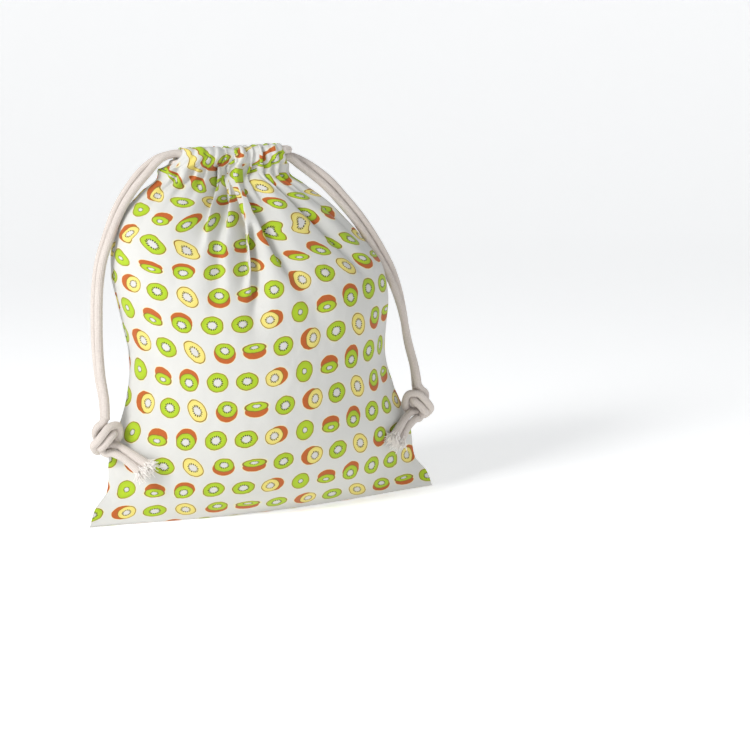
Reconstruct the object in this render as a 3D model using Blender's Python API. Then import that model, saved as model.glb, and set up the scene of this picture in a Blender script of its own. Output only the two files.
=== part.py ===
"""Cotton drawstring shopping bag, filled out and standing on its base.

Two cotton panels meet down both sides and along the bottom. Their upper edges
are turned over into two casings round the gathered neck. Two cords run once
round the neck, and each leaves it at one side, where its two ends share a knot.
Metres, +Z up, front towards -Y, origin on the floor under the middle of the base.
"""
import math
from collections import namedtuple

import bmesh
import bpy
from mathutils import Vector

# The two panels
BASE_WIDTH = 0.296        # from one lower corner to the other
PANEL_HEIGHT = 0.280      # from the floor up to the gathering line
BELLY_DEPTH = 0.140       # front to back at the fullest height
BASE_DEPTH = 0.036        # front to back of the flat that rests on the floor
CLOTH = 0.0012            # thickness of the cotton wall
SEAM_GAP = 0.0003         # clearance between two pieces that touch
CORNER_HOLLOW = 0.0006    # slack inside each flat lower corner
CORNER_HEIGHT = 0.040     # height at which that slack has closed

# The gathered neck
NECK_WIDTH = 0.075        # length of the gathered casings
NECK_SHIFT = -0.0165      # how far the neck leans off the middle
NECK_DEPTH = 0.024        # front to back of the panels under the casings
SHOULDER_WIDTH = 0.096    # side to side of the panels under the casings
SHOULDER_RISE = 0.003     # lift of the left shoulder beside the casing
MOUTH_GAP = 0.010         # opening left between the two casings
GATHER_DEPTH = 0.0016     # ripple of the panels at the gathering line
CASING_RUFFLE = 0.0013    # swell of each pleat of a casing
PANEL_GATHERS = 8
CASING_PLEATS = 7

# The cords
CORD_DIAMETER = 0.0065
CORD_CLEARANCE = 0.0005   # play round each cord in its casing
KNOT_HALF = (0.0100, 0.0085, 0.0135)
TAIL_FLARE = 1.45         # width of a frayed end as a share of the cord

# Mesh density
PANEL_COLUMNS = 36
PANEL_ROWS = 17
BASE_ROWS = 2
CASING_STATIONS = 32
CORD_POINT_SPACING = 2.2  # in cord diameters

COTTON_COLOUR = (0.83, 0.85, 0.82)
CORD_COLOUR = (0.72, 0.66, 0.61)

# Level sections of one panel, from the floor up. Heights are shares of
# PANEL_HEIGHT, widths of half of BASE_WIDTH, depths of half of BELLY_DEPTH and
# leans of NECK_SHIFT. The edge value is the sharpness of the side: 1 is round,
# more draws it out to a flat fin and less squares it off.
Section = namedtuple("Section", "height width depth lean edge")
SECTIONS = (
    Section(0.050, 0.966, 0.50, 0.00, 2.80),
    Section(0.100, 0.896, 0.65, 0.00, 2.20),
    Section(0.200, 0.872, 0.84, 0.00, 1.90),
    Section(0.350, 0.768, 0.97, 0.00, 1.50),
    Section(0.464, 0.728, 1.00, 0.00, 1.20),
    Section(0.589, 0.748, 0.97, 0.05, 1.05),
    Section(0.700, 0.734, 0.86, 0.35, 1.00),
    Section(0.800, 0.660, 0.70, 0.90, 1.00),
    Section(0.886, 0.560, 0.52, 1.30, 0.95),
    Section(0.943, 0.446, 0.37, 1.42, 0.85),
)
FLOOR_EDGE = 3.0
SHOULDER_EDGE = 0.60
SHOULDER_LEAN = 1.45

# Folds that run down from the neck. Places across are from -1 at the left seam
# to 1 at the right one, heights are shares of PANEL_HEIGHT, depths shares of
# GATHER_DEPTH and widths shares of half a panel.
Fold = namedtuple("Fold", "top_across top_height foot_across foot_height depth width")
FRONT_FOLDS = (
    Fold(-0.22, 1.00, -0.33, 0.84, 1.6, 0.055),
    Fold(-0.14, 1.00, -0.20, 0.90, 2.2, 0.050),
    Fold(-0.12, 0.95, -0.13, 0.70, 1.5, 0.050),
    Fold(0.02, 1.00, 0.12, 0.74, 1.9, 0.055),
    Fold(0.38, 0.94, 0.47, 0.74, 1.6, 0.060),
    Fold(0.66, 0.90, 0.64, 0.76, 1.2, 0.060),
    Fold(-0.20, 0.88, -0.26, 0.60, 1.2, 0.080),
    Fold(-0.80, 0.72, -0.78, 0.38, 1.6, 0.070),
)
BACK_FOLDS = (
    Fold(-0.50, 0.98, -0.60, 0.74, 1.6, 0.060),
    Fold(-0.18, 1.00, -0.24, 0.70, 2.0, 0.055),
    Fold(0.10, 1.00, 0.08, 0.78, 1.8, 0.055),
    Fold(0.34, 1.00, 0.46, 0.72, 1.7, 0.060),
    Fold(0.78, 0.72, 0.80, 0.40, 1.5, 0.070),
)
GATHER_FOOT = 0.74        # height share at which the small gathers have faded

# Route of each pair of cord strands from the neck down to its knot. The middle
# of the pair is at x, y, z and the front strand lies at it plus the aside
# values, the back strand at it minus them. All in millimetres.
MM = 0.001
Station = namedtuple("Station", "x y z aside_x aside_y aside_z")
LEFT_ROUTE = (
    Station(-64, 0, 293.2, 0.0, -7.6, -0.1),
    Station(-76, -2, 289.2, 0.8, -4.4, -0.8),
    Station(-88, -3, 280.0, 1.3, -3.4, -1.2),
    Station(-100, -4, 267.0, 1.3, -3.2, -1.0),
    Station(-111, -4, 250.5, 1.2, -3.2, -0.8),
    Station(-120, -5, 231.0, 1.0, -3.3, -0.5),
    Station(-127, -5, 212.0, 0.9, -3.4, -0.3),
    Station(-131, -5, 191.0, 0.9, -3.4, 0.0),
    Station(-133, -6, 170.0, 0.9, -3.4, 0.0),
    Station(-134, -6, 147.0, 0.8, -3.4, 0.0),
    Station(-133.5, -6, 124.0, 0.6, -3.4, 0.0),
    Station(-132, -9, 104.0, 0.4, -3.4, 0.0),
)
RIGHT_ROUTE = (
    Station(32, 0, 285.6, -0.6, -6.6, -0.8),
    Station(42, 0, 280.6, -1.8, -3.2, -1.9),
    Station(53, -1, 272.6, -2.2, -1.7, -2.1),
    Station(64.5, -2, 262.2, -2.3, -1.3, -2.2),
    Station(76, -2, 249.0, -2.4, -1.3, -2.0),
    Station(87, -3, 235.0, -2.6, -1.3, -1.8),
    Station(97, -3, 220.0, -2.8, -1.4, -1.6),
    Station(106, -4, 204.0, -2.9, -1.5, -1.2),
    Station(114, -4, 188.0, -2.8, -1.9, -0.8),
    Station(120, -5, 170.0, -2.2, -2.6, -0.4),
    Station(124.5, -5, 150.0, -1.4, -3.1, 0.0),
    Station(127.5, -6, 128.0, -0.8, -3.4, 0.0),
    Station(131.5, -9, 106.0, -0.5, -3.4, 0.0),
)
LEFT_KNOT = (-132.5, -11.0, 75.0)
RIGHT_KNOT = (132.5, -11.0, 76.0)

# Each tail leaves its knot and lies over the front of the bag. The points are
# in millimetres from the middle of the left knot; the right one is mirrored.
TAILS = (
    ((2.0, -2.0, -3.0), (13.0, -5.5, -12.0), (23.0, -12.5, -20.0), (31.0, -20.5, -25.5)),
    ((0.0, -5.0, -7.0), (9.0, -8.0, -16.0), (16.0, -10.5, -23.5), (22.0, -15.0, -29.5)),
)

CASING_DEPTH = CORD_DIAMETER + 2 * CORD_CLEARANCE + 2 * CLOTH
CASING_HEIGHT = 2 * CORD_DIAMETER + 3 * CORD_CLEARANCE + 2 * CLOTH
CASING_MIDDLE = MOUTH_GAP / 2 + CASING_DEPTH / 2
CASING_FOOT = PANEL_HEIGHT + SEAM_GAP
LOWER_LANE = CASING_FOOT + CLOTH + CORD_CLEARANCE + CORD_DIAMETER / 2
UPPER_LANE = LOWER_LANE + CORD_DIAMETER + CORD_CLEARANCE


def clear_scene():
    for item in list(bpy.data.objects):
        bpy.data.objects.remove(item, do_unlink=True)


def make_material(name, colour, roughness):
    material = bpy.data.materials.new(name)
    material.use_nodes = True
    shader = material.node_tree.nodes["Principled BSDF"]
    shader.inputs["Base Color"].default_value = (*colour, 1.0)
    shader.inputs["Roughness"].default_value = roughness
    shader.inputs["Metallic"].default_value = 0.0
    return material


def ease(share):
    """Smooth step from 0 to 1."""
    share = min(1.0, max(0.0, share))
    return share * share * (3 - 2 * share)


def all_sections():
    """The table in metres, with the floor and the shoulder from their own sizes."""
    half_width = BASE_WIDTH / 2
    half_depth = BELLY_DEPTH / 2
    rows = [Section(0.0, half_width, BASE_DEPTH / 2, 0.0, FLOOR_EDGE)]
    for row in SECTIONS:
        rows.append(Section(row.height * PANEL_HEIGHT, row.width * half_width,
                            row.depth * half_depth, row.lean * NECK_SHIFT, row.edge))
    rows.append(Section(PANEL_HEIGHT, SHOULDER_WIDTH / 2, NECK_DEPTH / 2,
                        SHOULDER_LEAN * NECK_SHIFT, SHOULDER_EDGE))
    return rows


def section_at(rows, height):
    """Section at any height, on a smooth curve through the table's rows."""
    last = len(rows) - 1
    place = 0
    while place < last - 1 and height > rows[place + 1].height:
        place += 1
    low, high = rows[place], rows[place + 1]
    before = rows[max(0, place - 1)]
    after = rows[min(last, place + 2)]
    step = high.height - low.height
    share = (height - low.height) / step
    values = [height]
    for field in ("width", "depth", "lean", "edge"):
        start, end = getattr(low, field), getattr(high, field)
        start_slope = (end - getattr(before, field)) / (high.height - before.height)
        end_slope = (getattr(after, field) - start) / (after.height - low.height)
        square, cube = share ** 2, share ** 3
        values.append((2 * cube - 3 * square + 1) * start
                      + (cube - 2 * square + share) * step * start_slope
                      + (3 * square - 2 * cube) * end
                      + (cube - square) * step * end_slope)
    return Section(*values)


def fold_push(folds, across, height_share):
    """How far gathers and folds push the cloth outwards at one place."""
    push = 0.0
    if height_share > GATHER_FOOT:
        fade = ((height_share - GATHER_FOOT) / (1 - GATHER_FOOT)) ** 1.5
        push += GATHER_DEPTH * fade * math.cos(math.pi * PANEL_GATHERS * across) * (1 - across ** 2)
    for fold in folds:
        share = (fold.top_height - height_share) / (fold.top_height - fold.foot_height)
        if not -0.15 < share < 1.25:
            continue
        middle = fold.top_across + (fold.foot_across - fold.top_across) * share
        ends = ease((share + 0.15) / 0.25) * ease((1.25 - share) / 0.45)
        push -= fold.depth * GATHER_DEPTH * ends * math.exp(-((across - middle) / fold.width) ** 2)
    return push


def panel_point(rows, folds, across, height, inset):
    """A point of the front panel's outer skin, or of its inner one at an inset of CLOTH."""
    section = section_at(rows, height)
    height_share = height / PANEL_HEIGHT
    push = fold_push(folds, across, height_share)
    angle = across * math.pi / 2
    side, forward = math.sin(angle), max(0.0, math.cos(angle))
    x = section.lean + (section.width + push - inset) * side
    slack = CORNER_HOLLOW * (1 - ease(height / CORNER_HEIGHT))
    y = -(SEAM_GAP / 2 + slack + CLOTH - inset
          + section.depth * forward ** section.edge + push * forward)
    z = height + inset * (1 - height_share)
    casing_end = math.asin(min(1.0, NECK_WIDTH / SHOULDER_WIDTH)) * 2 / math.pi
    if across < -casing_end:
        rise = SHOULDER_RISE * ease((-across - casing_end) / (1 - casing_end))
        z += rise * ease((height_share - 0.9) / 0.1)
    return Vector((x, y, z))


def panel_skin(rows, folds, inset):
    """Rows of points: the flat strip on the floor first, then up the wall."""
    columns = [2 * i / PANEL_COLUMNS - 1 for i in range(PANEL_COLUMNS + 1)]
    foot = [panel_point(rows, folds, across, 0.0, inset) for across in columns]
    skin = []
    for step in range(BASE_ROWS):
        share = step / BASE_ROWS
        strip = []
        for point in foot:
            y = -SEAM_GAP / 2 * (1 - share) + point.y * share
            strip.append(Vector((point.x, y, point.z)))
        skin.append(strip)
    for step in range(PANEL_ROWS + 1):
        height = PANEL_HEIGHT * step / PANEL_ROWS
        skin.append([panel_point(rows, folds, across, height, inset) for across in columns])
    return skin


def closed_sheet(outer, inner):
    """A closed body between two equal grids of points."""
    mesh = bmesh.new()
    grids = [[[mesh.verts.new(point) for point in row] for row in skin] for skin in (outer, inner)]
    height, width = len(outer), len(outer[0])
    for grid in grids:
        for i in range(height - 1):
            for j in range(width - 1):
                mesh.faces.new((grid[i][j], grid[i][j + 1], grid[i + 1][j + 1], grid[i + 1][j]))
    rim = [(0, j) for j in range(width)]
    rim += [(i, width - 1) for i in range(1, height)]
    rim += [(height - 1, j) for j in range(width - 2, -1, -1)]
    rim += [(i, 0) for i in range(height - 2, 0, -1)]
    for place, (i, j) in enumerate(rim):
        k, m = rim[(place + 1) % len(rim)]
        mesh.faces.new((grids[0][i][j], grids[0][k][m], grids[1][k][m], grids[1][i][j]))
    return mesh


def add_mesh_object(name, mesh, material, collection):
    bmesh.ops.triangulate(mesh, faces=mesh.faces)
    bmesh.ops.recalc_face_normals(mesh, faces=mesh.faces)
    data = bpy.data.meshes.new(name)
    mesh.to_mesh(data)
    mesh.free()
    data.shade_smooth()
    data.set_sharp_from_angle(angle=math.radians(50))
    data.materials.append(material)
    item = bpy.data.objects.new(name, data)
    collection.objects.link(item)
    return item


def turned_half_round(mesh):
    """Turn a front piece half round the vertical plane of the seams, to the back."""
    for vert in mesh.verts:
        vert.co.y = -vert.co.y
    bmesh.ops.reverse_faces(mesh, faces=mesh.faces)


def add_panel(name, folds, at_back, material, collection):
    rows = all_sections()
    mesh = closed_sheet(panel_skin(rows, folds, 0.0), panel_skin(rows, folds, CLOTH))
    if at_back:
        turned_half_round(mesh)
    return add_mesh_object(name, mesh, material, collection)


def casing_ring(x, swell, inset):
    """Eight corners of one casing section; pleats swell its front and its top."""
    half_depth = CASING_DEPTH / 2 - inset
    half_height = CASING_HEIGHT / 2 - inset
    corner = CORD_DIAMETER * 0.2
    middle_z = CASING_FOOT + CASING_HEIGHT / 2
    ring = []
    for sign_y, sign_z, tall in ((-1, -1, 0), (-1, -1, 1), (-1, 1, 1), (-1, 1, 0),
                                 (1, 1, 0), (1, 1, 1), (1, -1, 1), (1, -1, 0)):
        y = sign_y * (half_depth - (0 if tall else corner))
        z = sign_z * (half_height - (corner if tall else 0))
        y -= swell * (1.0 if sign_y < 0 else -0.3)
        z += swell * (1.0 if sign_z > 0 else 0.0)
        ring.append(Vector((x, -CASING_MIDDLE + y, middle_z + z)))
    return ring


def add_casing(name, at_back, material, collection):
    outer, inner = [], []
    for step in range(CASING_STATIONS + 1):
        share = step / CASING_STATIONS
        x = NECK_SHIFT + NECK_WIDTH * (share - 0.5)
        pleat = 0.5 - 0.5 * math.cos(2 * math.pi * CASING_PLEATS * share)
        outer.append(casing_ring(x, CASING_RUFFLE * pleat, 0.0))
        inner.append(casing_ring(x, 0.0, CLOTH))
    mesh = bmesh.new()
    shells = [[[mesh.verts.new(point) for point in ring] for ring in skin] for skin in (outer, inner)]
    corners = len(outer[0])
    for shell in shells:
        for ring, following in zip(shell, shell[1:]):
            for i in range(corners):
                k = (i + 1) % corners
                mesh.faces.new((ring[i], ring[k], following[k], following[i]))
    for end in (0, -1):
        for i in range(corners):
            k = (i + 1) % corners
            mesh.faces.new((shells[0][end][i], shells[0][end][k], shells[1][end][k], shells[1][end][i]))
    if at_back:
        turned_half_round(mesh)
    return add_mesh_object(name, mesh, material, collection)


def smooth_path(points, spacing):
    """Evenly spaced points on a smooth curve through the given ones."""
    fine = []
    for i in range(len(points) - 1):
        before = points[max(0, i - 1)]
        start, end = points[i], points[i + 1]
        after = points[min(len(points) - 1, i + 2)]
        for step in range(12):
            t = step / 12
            fine.append(0.5 * (2 * start + (end - before) * t
                               + (2 * before - 5 * start + 4 * end - after) * t ** 2
                               + (3 * start - before - 3 * end + after) * t ** 3))
    fine.append(points[-1].copy())
    lengths = [0.0]
    for start, end in zip(fine, fine[1:]):
        lengths.append(lengths[-1] + (end - start).length)
    count = max(2, round(lengths[-1] / spacing))
    path, place = [], 0
    for step in range(count + 1):
        target = lengths[-1] * step / count
        while place < len(fine) - 2 and lengths[place + 1] < target:
            place += 1
        share = (target - lengths[place]) / (lengths[place + 1] - lengths[place])
        path.append(fine[place].lerp(fine[place + 1], min(1.0, share)))
    return path


def add_cord(name, points, radii, material, collection):
    """A round cord with filled ends along the points."""
    data = bpy.data.curves.new(name, "CURVE")
    data.dimensions = "3D"
    data.bevel_depth = CORD_DIAMETER / 2
    data.bevel_resolution = 2
    data.use_fill_caps = True
    spline = data.splines.new("POLY")
    spline.points.add(len(points) - 1)
    for slot, point, radius in zip(spline.points, points, radii):
        slot.co = (*point, 1.0)
        slot.radius = radius
    data.materials.append(material)
    item = bpy.data.objects.new(name, data)
    collection.objects.link(item)
    return item


def add_neck_loop(name, height, exit_side, material, collection):
    """The stretch of a cord inside the casings, turning round the far side of the neck."""
    near = NECK_SHIFT + exit_side * NECK_WIDTH / 2
    far = NECK_SHIFT - exit_side * (NECK_WIDTH / 2 + SEAM_GAP)
    points = [Vector((near + (far - near) * step / 5, -CASING_MIDDLE, height)) for step in range(6)]
    for step in range(1, 8):
        angle = math.pi * step / 8
        points.append(Vector((far - exit_side * CASING_MIDDLE * math.sin(angle),
                              -CASING_MIDDLE * math.cos(angle), height)))
    points += [Vector((far + (near - far) * step / 5, CASING_MIDDLE, height)) for step in range(6)]
    add_cord(name, points, [1.0] * len(points), material, collection)


def add_strands(side_name, side, lane, route, knot, material, collection):
    """The two free strands of one cord, from the casing ends down to their knot."""
    leave = NECK_SHIFT + side * (NECK_WIDTH / 2 + SEAM_GAP)
    knot_top = knot[2] * MM + KNOT_HALF[2] + SEAM_GAP
    for strand_name, way in (("front", 1), ("back", -1)):
        start = Vector((leave, -way * CASING_MIDDLE, lane))
        points = [start + Vector((side * CORD_DIAMETER * 0.6, 0, 0))]
        for row in route:
            middle = Vector((row.x, row.y, row.z))
            aside = Vector((row.aside_x, row.aside_y, row.aside_z))
            points.append((middle + way * aside) * MM)
        points.append(Vector((knot[0] * MM, knot[1] * MM - way * (CORD_DIAMETER + SEAM_GAP) / 2, knot_top)))
        path = [start] + smooth_path(points, CORD_POINT_SPACING * CORD_DIAMETER)
        name = "%s_cord_%s_strand" % (side_name, strand_name)
        add_cord(name, path, [1.0] * len(path), material, collection)


def as_mesh_object(item, collection):
    """Replace a curve or a changed mesh by its evaluated, welded mesh."""
    graph = bpy.context.evaluated_depsgraph_get()
    data = bpy.data.meshes.new_from_object(item.evaluated_get(graph))
    solid = bpy.data.objects.new(item.name, data)
    solid.matrix_world = item.matrix_world.copy()
    bpy.data.objects.remove(item, do_unlink=True)
    collection.objects.link(solid)
    weld = bmesh.new()
    weld.from_mesh(data)
    bmesh.ops.remove_doubles(weld, verts=weld.verts, dist=1e-6)
    bmesh.ops.recalc_face_normals(weld, faces=weld.faces)
    weld.to_mesh(data)
    weld.free()
    return solid


def add_knot(name, centre, side, material, collection):
    """An overhand knot of both strands, with its two frayed tails in one body."""
    middle = Vector(centre) * MM
    pieces = []
    bpy.ops.mesh.primitive_uv_sphere_add(segments=14, ring_count=9, radius=1.0, location=middle)
    core = bpy.context.object
    core.scale = (KNOT_HALF[0] * 0.86, KNOT_HALF[1] * 0.92, KNOT_HALF[2])
    pieces.append(core)
    for lift, tilt in ((0.30, 38), (-0.34, 38)):
        bpy.ops.mesh.primitive_torus_add(
            major_segments=16, minor_segments=6, major_radius=KNOT_HALF[0] * 0.66,
            minor_radius=CORD_DIAMETER * 0.5, location=middle + Vector((0, 0, lift * KNOT_HALF[2])),
            rotation=(0, -side * math.radians(tilt), 0))
        pieces.append(bpy.context.object)
    for tail in TAILS:
        points = [middle + Vector((-side * x, y, z)) * MM for x, y, z in tail]
        path = smooth_path(points, CORD_POINT_SPACING * CORD_DIAMETER * 0.5)
        radii = [1 + (TAIL_FLARE - 1) * ease(2 * i / (len(path) - 1) - 1) for i in range(len(path))]
        strand = add_cord(name + "_tail", path, radii, material, collection)
        pieces.append(as_mesh_object(strand, collection))
    knot = pieces[0]
    for piece in pieces[1:]:
        join = knot.modifiers.new("join", "BOOLEAN")
        join.operation = "UNION"
        join.object = piece
    bpy.context.view_layer.update()
    solid = as_mesh_object(knot, collection)
    for piece in pieces[1:]:
        bpy.data.objects.remove(piece, do_unlink=True)
    solid.name = name
    solid.data.materials.clear()
    solid.data.materials.append(material)
    solid.data.shade_smooth()


def build():
    clear_scene()
    collection = bpy.data.collections.new("drawstring_bag")
    bpy.context.scene.collection.children.link(collection)
    cotton = make_material("printed_cotton", COTTON_COLOUR, 0.9)
    cord = make_material("cotton_cord", CORD_COLOUR, 0.92)
    add_panel("front_panel", FRONT_FOLDS, False, cotton, collection)
    add_panel("back_panel", BACK_FOLDS, True, cotton, collection)
    add_casing("front_casing", False, cotton, collection)
    add_casing("back_casing", True, cotton, collection)
    add_neck_loop("left_cord_neck_loop", UPPER_LANE, -1, cord, collection)
    add_neck_loop("right_cord_neck_loop", LOWER_LANE, 1, cord, collection)
    add_strands("left", -1, UPPER_LANE, LEFT_ROUTE, LEFT_KNOT, cord, collection)
    add_strands("right", 1, LOWER_LANE, RIGHT_ROUTE, RIGHT_KNOT, cord, collection)
    add_knot("left_knot", LEFT_KNOT, -1, cord, collection)
    add_knot("right_knot", RIGHT_KNOT, 1, cord, collection)


build()
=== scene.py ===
"""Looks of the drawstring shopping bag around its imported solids.

The cloth of each side is one fine grid: it starts at the bottom seam, runs up the
wall, through the gathers and over the casing, and ends inside the mouth. The cords
follow the routes of the solid cords once they are clear of the casing. The print is
worked out in the material from a chart of twelve slices.
"""
import math
from collections import namedtuple

import bmesh
import bpy
import numpy as np
from mathutils import Matrix, Vector


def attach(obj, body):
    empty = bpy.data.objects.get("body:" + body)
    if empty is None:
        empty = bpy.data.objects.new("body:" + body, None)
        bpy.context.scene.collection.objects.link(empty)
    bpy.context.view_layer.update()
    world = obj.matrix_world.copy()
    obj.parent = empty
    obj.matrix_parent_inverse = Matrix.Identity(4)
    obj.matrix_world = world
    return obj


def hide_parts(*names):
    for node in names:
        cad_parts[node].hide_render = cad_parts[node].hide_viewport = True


bl_info = {
    "name": "Drawstring shopping bag",
    "version": (1, 0, 0),
    "blender": (4, 5, 0),
    "location": "View3D > Sidebar > Bag",
    "description": "Cloth, cords, knots and stage of a printed cotton drawstring bag",
    "category": "Mesh",
}

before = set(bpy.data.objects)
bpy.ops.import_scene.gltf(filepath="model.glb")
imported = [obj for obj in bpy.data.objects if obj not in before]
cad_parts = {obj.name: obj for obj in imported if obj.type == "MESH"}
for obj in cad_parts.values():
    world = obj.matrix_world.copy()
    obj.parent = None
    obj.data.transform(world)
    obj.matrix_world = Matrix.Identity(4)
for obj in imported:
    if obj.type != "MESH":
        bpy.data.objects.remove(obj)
bpy.ops.object.select_all(action="DESELECT")
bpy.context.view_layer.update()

MM = 0.001

# Sizes of the solid bag, in metres
BASE_WIDTH = 0.296
PANEL_HEIGHT = 0.280
BELLY_DEPTH = 0.140
BASE_DEPTH = 0.036
CLOTH_GAP = 0.0004
NECK_WIDTH = 0.075
NECK_SHIFT = -0.0165
NECK_DEPTH = 0.024
SHOULDER_WIDTH = 0.096
NECK_FRONT = 0.0142

# Ends of the gathered neck at heights over the wall, and how far they are rounded
Neck = namedtuple("Neck", "over left right left_round right_round")
NECK_ROWS = (
    Neck(0.0000, -0.0740, 0.0290, 0.0200, 0.0120),
    Neck(0.0030, -0.0690, 0.0270, 0.0150, 0.0100),
    Neck(0.0070, -0.0625, 0.0252, 0.0090, 0.0085),
    Neck(0.0110, -0.0585, 0.0244, 0.0060, 0.0080),
    Neck(0.0169, -0.0565, 0.0232, 0.0045, 0.0075),
)
MOUTH_GAP = 0.010
SEAM_GAP = 0.0003
NECK_BLEND_FROM = 0.945   # share of the height where the wall turns into the neck
CORD_DIAMETER = 0.0065
CORD_SIDES = 24
CASING_HEIGHT = 0.0169
CASING_TURN = 0.0045      # height taken up by the turn over the top
CASING_FRONT_END = 0.5    # share of the casing's rows that go up its front
CASING_TURN_END = 0.74    # share where the turn over the top ends
CASING_FOOT = 0.0008      # height over the wall where the inside ends
CASING_SWELL = 0.0052     # how far a pleat of the casing stands out
CASING_CREST = 0.0020     # how far a pleat rises over the upper edge
LOWER_LANE = 0.28525
UPPER_LANE = 0.29225
FLOOR_EDGE = 3.0
SHOULDER_EDGE = 0.60
SHOULDER_LEAN = 1.45
KNOT_HALF_HEIGHT = 0.0135

Section = namedtuple("Section", "height width depth lean edge")
SECTIONS = (
    Section(0.050, 0.966, 0.50, 0.00, 2.80),
    Section(0.100, 0.896, 0.65, 0.00, 2.20),
    Section(0.200, 0.872, 0.84, 0.00, 1.90),
    Section(0.350, 0.768, 0.97, 0.00, 1.50),
    Section(0.464, 0.728, 1.00, 0.00, 1.20),
    Section(0.589, 0.748, 0.97, 0.05, 1.05),
    Section(0.700, 0.734, 0.86, 0.35, 1.00),
    Section(0.800, 0.660, 0.70, 0.90, 1.00),
    Section(0.886, 0.560, 0.52, 1.30, 0.95),
    Section(0.943, 0.446, 0.37, 1.42, 0.85),
)

# Creases of the cloth. Places across run from -1 at the left seam to 1 at the right
# one, heights are shares of the panel. The share says how much spare cloth each one
# takes up, width is half of its mouth in millimetres and lean tips it over sideways.
Crease = namedtuple("Crease", "top_across top_height foot_across foot_height share width lean")
FRONT_CREASES = (
    Crease(-0.80, 1.00, -0.84, 0.90, 0.4, 2.6, 0.2),
    Crease(-0.62, 1.00, -0.68, 0.86, 0.6, 2.8, 0.2),
    Crease(-0.40, 1.00, -0.50, 0.90, 0.5, 2.4, 0.2),
    Crease(-0.27, 1.00, -0.33, 0.92, 0.5, 2.2, 0.3),
    Crease(-0.18, 1.00, -0.29, 0.83, 1.5, 2.2, 0.9),
    Crease(-0.115, 1.00, -0.17, 0.93, 0.7, 1.7, 0.4),
    Crease(-0.065, 1.00, -0.15, 0.86, 2.0, 2.0, 0.9),
    Crease(-0.015, 1.00, -0.05, 0.94, 0.7, 1.6, 0.0),
    Crease(0.035, 1.00, -0.13, 0.74, 1.9, 2.1, 0.9),
    Crease(0.10, 1.00, 0.08, 0.94, 0.7, 1.7, -0.3),
    Crease(0.16, 1.00, 0.13, 0.77, 2.1, 2.2, -1.1),
    Crease(0.215, 1.00, 0.20, 0.94, 0.7, 1.7, 0.0),
    Crease(0.28, 1.00, 0.18, 0.85, 1.0, 2.2, -0.4),
    Crease(0.34, 1.00, 0.36, 0.93, 0.6, 2.0, 0.3),
    Crease(0.42, 1.00, 0.52, 0.77, 1.5, 2.3, -0.9),
    Crease(0.53, 1.00, 0.60, 0.90, 0.7, 2.4, -0.2),
    Crease(0.68, 1.00, 0.76, 0.80, 0.8, 2.8, -0.3),
    Crease(0.86, 1.00, 0.88, 0.92, 0.4, 2.6, 0.0),
    Crease(0.02, 0.82, -0.09, 0.63, 1.2, 2.6, -0.4),
    Crease(-0.15, 0.90, -0.27, 0.68, 0.8, 3.0, 0.4),
)
BACK_CREASES = (
    Crease(-0.84, 1.00, -0.86, 0.88, 0.5, 2.8, 0.1),
    Crease(-0.68, 1.00, -0.74, 0.78, 0.8, 2.8, 0.3),
    Crease(-0.52, 1.00, -0.56, 0.90, 0.7, 2.4, 0.2),
    Crease(-0.40, 1.00, -0.47, 0.82, 1.2, 2.5, 0.5),
    Crease(-0.31, 1.00, -0.34, 0.93, 0.7, 1.8, 0.0),
    Crease(-0.23, 1.00, -0.28, 0.72, 1.5, 2.5, 0.6),
    Crease(-0.15, 1.00, -0.17, 0.92, 0.7, 1.8, 0.3),
    Crease(-0.08, 1.00, -0.10, 0.88, 1.1, 2.3, 0.5),
    Crease(-0.01, 1.00, -0.02, 0.94, 0.7, 1.7, 0.0),
    Crease(0.06, 1.00, 0.04, 0.78, 1.5, 2.5, -0.6),
    Crease(0.14, 1.00, 0.15, 0.93, 0.7, 1.8, -0.2),
    Crease(0.22, 1.00, 0.28, 0.90, 1.0, 2.2, -0.3),
    Crease(0.31, 1.00, 0.42, 0.73, 1.5, 2.5, -0.6),
    Crease(0.42, 1.00, 0.50, 0.92, 0.7, 2.2, 0.0),
    Crease(0.56, 1.00, 0.62, 0.86, 0.8, 2.6, -0.3),
    Crease(0.72, 1.00, 0.78, 0.82, 0.7, 2.8, -0.2),
    Crease(0.88, 1.00, 0.90, 0.92, 0.4, 2.6, 0.0),
    Crease(0.02, 0.84, 0.06, 0.64, 1.0, 2.8, -0.3),
)

# Broad soft folds of the filled wall, with depth and half width in millimetres.
Fold = namedtuple("Fold", "top_across top_height foot_across foot_height depth width")
FRONT_FOLDS = (
    Fold(-0.14, 0.92, -0.12, 0.56, 2.2, 9.0),
    Fold(0.10, 0.80, 0.20, 0.52, 1.8, 10.0),
    Fold(0.42, 0.92, 0.56, 0.62, 2.0, 10.0),
    Fold(-0.30, 0.94, -0.42, 0.70, 1.6, 9.0),
    Fold(-0.72, 0.72, -0.70, 0.34, 1.8, 8.0),
    Fold(0.70, 0.70, 0.72, 0.30, 1.6, 9.0),
)
BACK_FOLDS = (
    Fold(-0.44, 0.92, -0.55, 0.60, 2.2, 10.0),
    Fold(-0.14, 0.90, -0.20, 0.56, 1.8, 9.0),
    Fold(0.16, 0.94, 0.20, 0.62, 2.0, 10.0),
    Fold(0.40, 0.92, 0.52, 0.58, 1.8, 10.0),
    Fold(0.74, 0.72, 0.76, 0.36, 1.6, 8.0),
)

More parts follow.
